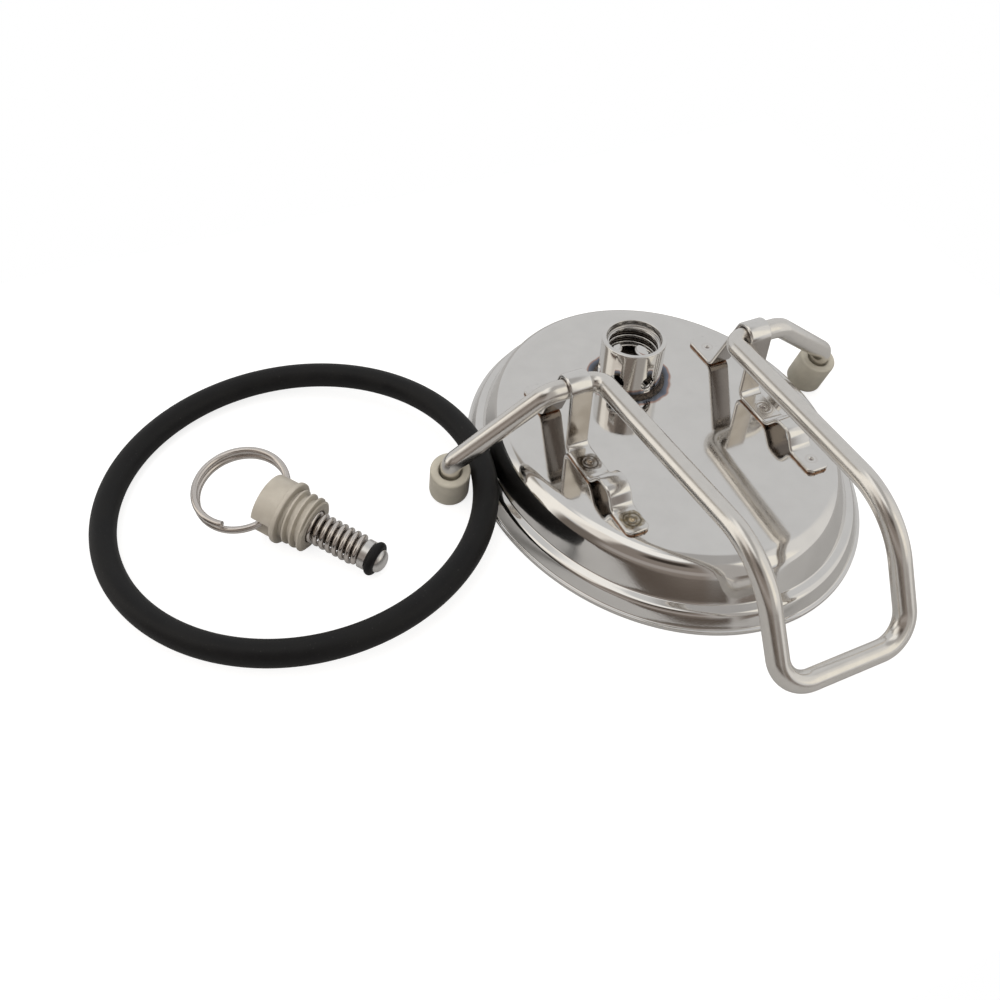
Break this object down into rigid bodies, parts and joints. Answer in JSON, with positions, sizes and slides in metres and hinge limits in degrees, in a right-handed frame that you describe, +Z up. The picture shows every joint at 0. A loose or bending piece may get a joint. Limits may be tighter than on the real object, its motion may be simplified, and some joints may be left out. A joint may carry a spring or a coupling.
{
  "type": "keg lid",
  "caption": "Oval pressed keg lid with a wire bail handle, clips, feet and a threaded relief port, its O-ring and pull-ring relief valve lying loose beside it.",
  "frame": {"origin": "middle of the lid's oval, on the surface that its rim lies on", "axes": "+Z up, out of the keg; +X along the bail's pivot axis, across the oval; the handle points to -Y"},
  "size_m": [0.2209, 0.1632, 0.04],
  "materials": {
    "polished_steel": "pressed stainless steel, mirror polished",
    "weld_steel": "stainless weld bead, lightly tinted by heat",
    "satin_steel": "stainless rod and wire, satin",
    "foot_plastic": "moulded grey-beige plastic, matte",
    "plug_plastic": "moulded grey-beige plastic, slightly glossy",
    "black_rubber": "black rubber, matte"
  },
  "bodies": {
    "lid": {"lid_shell": "polished_steel", "relief_port": "polished_steel", "port_weld": "weld_steel", "clip_left": "polished_steel", "clip_right": "polished_steel", "lid_o_ring": "black_rubber"},
    "bail": {"bail_wire": "satin_steel", "foot_left": "foot_plastic", "foot_right": "foot_plastic"},
    "valve": {"valve_plug": "plug_plastic", "valve_spring": "satin_steel"},
    "stem": {"valve_stem": "satin_steel", "valve_disc": "satin_steel", "valve_seal": "black_rubber", "valve_tip": "satin_steel"},
    "ring": {"pull_ring": "satin_steel"}
  },
  "joints": [
    {"name": "bail_swing", "type": "hinge", "parent": "lid", "child": "bail", "pos_m": [0, 0.0036, 0.0348], "axis": [1, 0, 0], "range_deg": [-100, 3.5], "deforming": ["lid_o_ring"]},
    {"name": "valve_lift", "type": "slide", "parent": "lid", "child": "valve", "axis": [0, 0, 1], "range_m": [0, 0.06]},
    {"name": "stem_slide", "type": "slide", "parent": "valve", "child": "stem", "axis": [-0.6094, 0.7772, 0.1568], "range_m": [0, 0.0035], "stiffness_N_per_m": 300, "springref_m": -0.001, "deforming": ["valve_spring"]},
    {"name": "ring_flap", "type": "hinge", "parent": "stem", "child": "ring", "pos_m": [-0.10651, 0.01676, 0.00932], "axis": [0.7909, 0.5822, 0.1884], "range_deg": [-4, 8]}
  ]
}
